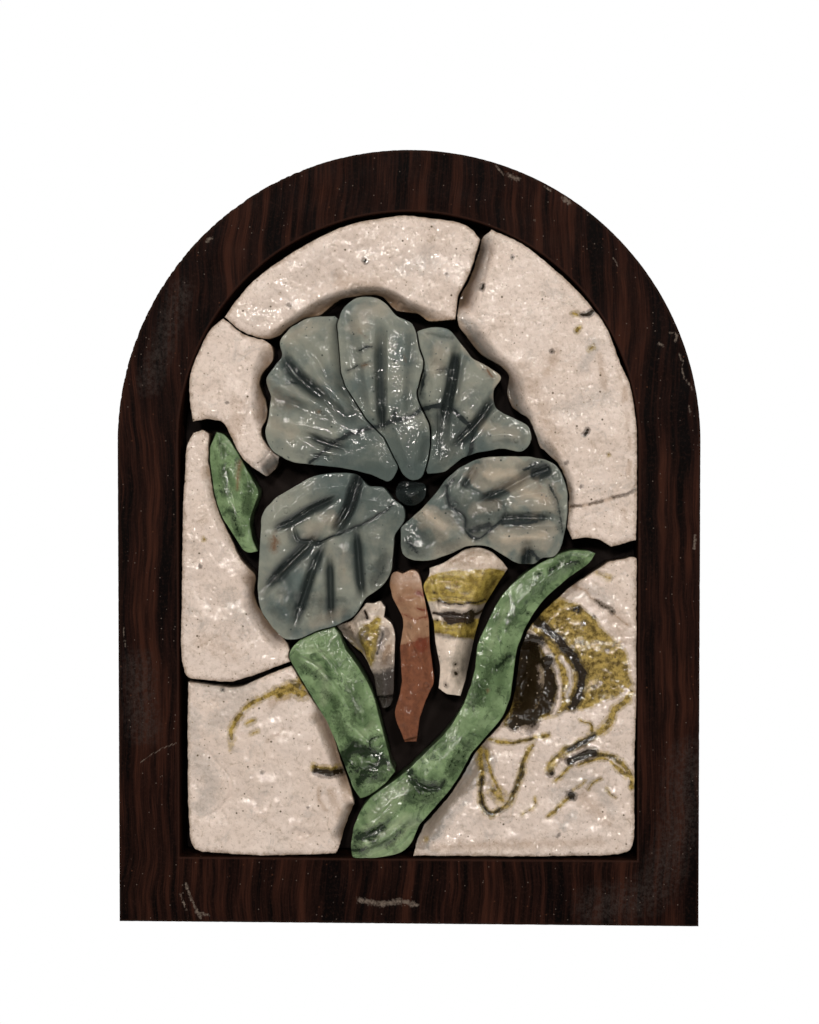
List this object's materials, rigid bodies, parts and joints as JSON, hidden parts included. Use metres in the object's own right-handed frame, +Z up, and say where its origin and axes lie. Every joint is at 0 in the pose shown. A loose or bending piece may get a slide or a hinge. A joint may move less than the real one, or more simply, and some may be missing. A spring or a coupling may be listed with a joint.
{
  "type": "mosaic panel",
  "caption": "Arched wall panel: thick cast glass pieces form a grey-green flower with leaves on a white ground, inside a dark wooden frame.",
  "frame": {"origin": "centre of the backing board's rear face, where the panel lies against the wall", "axes": "+X to the right seen from the front, +Y into the wall, +Z up; the face looks along -Y"},
  "size_m": [0.18, 0.0249, 0.2392],
  "materials": {
    "frame_wood": "dark red-brown wood grain with a near-black vertical figure, satin",
    "backing_wood": "dark brown, matt, with a varnished glue film in the joints",
    "ground_glass": "opaque warm white, clouded grey and tan, uneven and glossy",
    "petal_glass": "opaque grey-green, dark veins and clouds, glossy",
    "leaf_glass": "opaque mid green with dark clouds and round bubbles, glossy",
    "stem_glass": "opaque pale pink fading to terracotta, glossy",
    "banded_glass": "opaque white banded olive and black-brown, glossy"
  },
  "bodies": {
    "root": {"backing_board": "backing_wood", "frame_board": "frame_wood", "petal_upper_middle": "petal_glass", "petal_upper_left": "petal_glass", "petal_upper_right": "petal_glass", "petal_lower_left": "petal_glass", "petal_lower_right": "petal_glass", "flower_throat": "petal_glass", "leaf_long": "leaf_glass", "leaf_lower_left": "leaf_glass", "leaf_left": "leaf_glass", "stem_terracotta": "stem_glass", "stone_banded": "banded_glass", "stone_marbled": "banded_glass", "ground_top": "ground_glass", "ground_upper_right": "ground_glass", "ground_upper_left": "ground_glass", "ground_left": "ground_glass", "ground_lower_left": "ground_glass", "ground_lower_right": "ground_glass"}
  },
  "joints": []
}
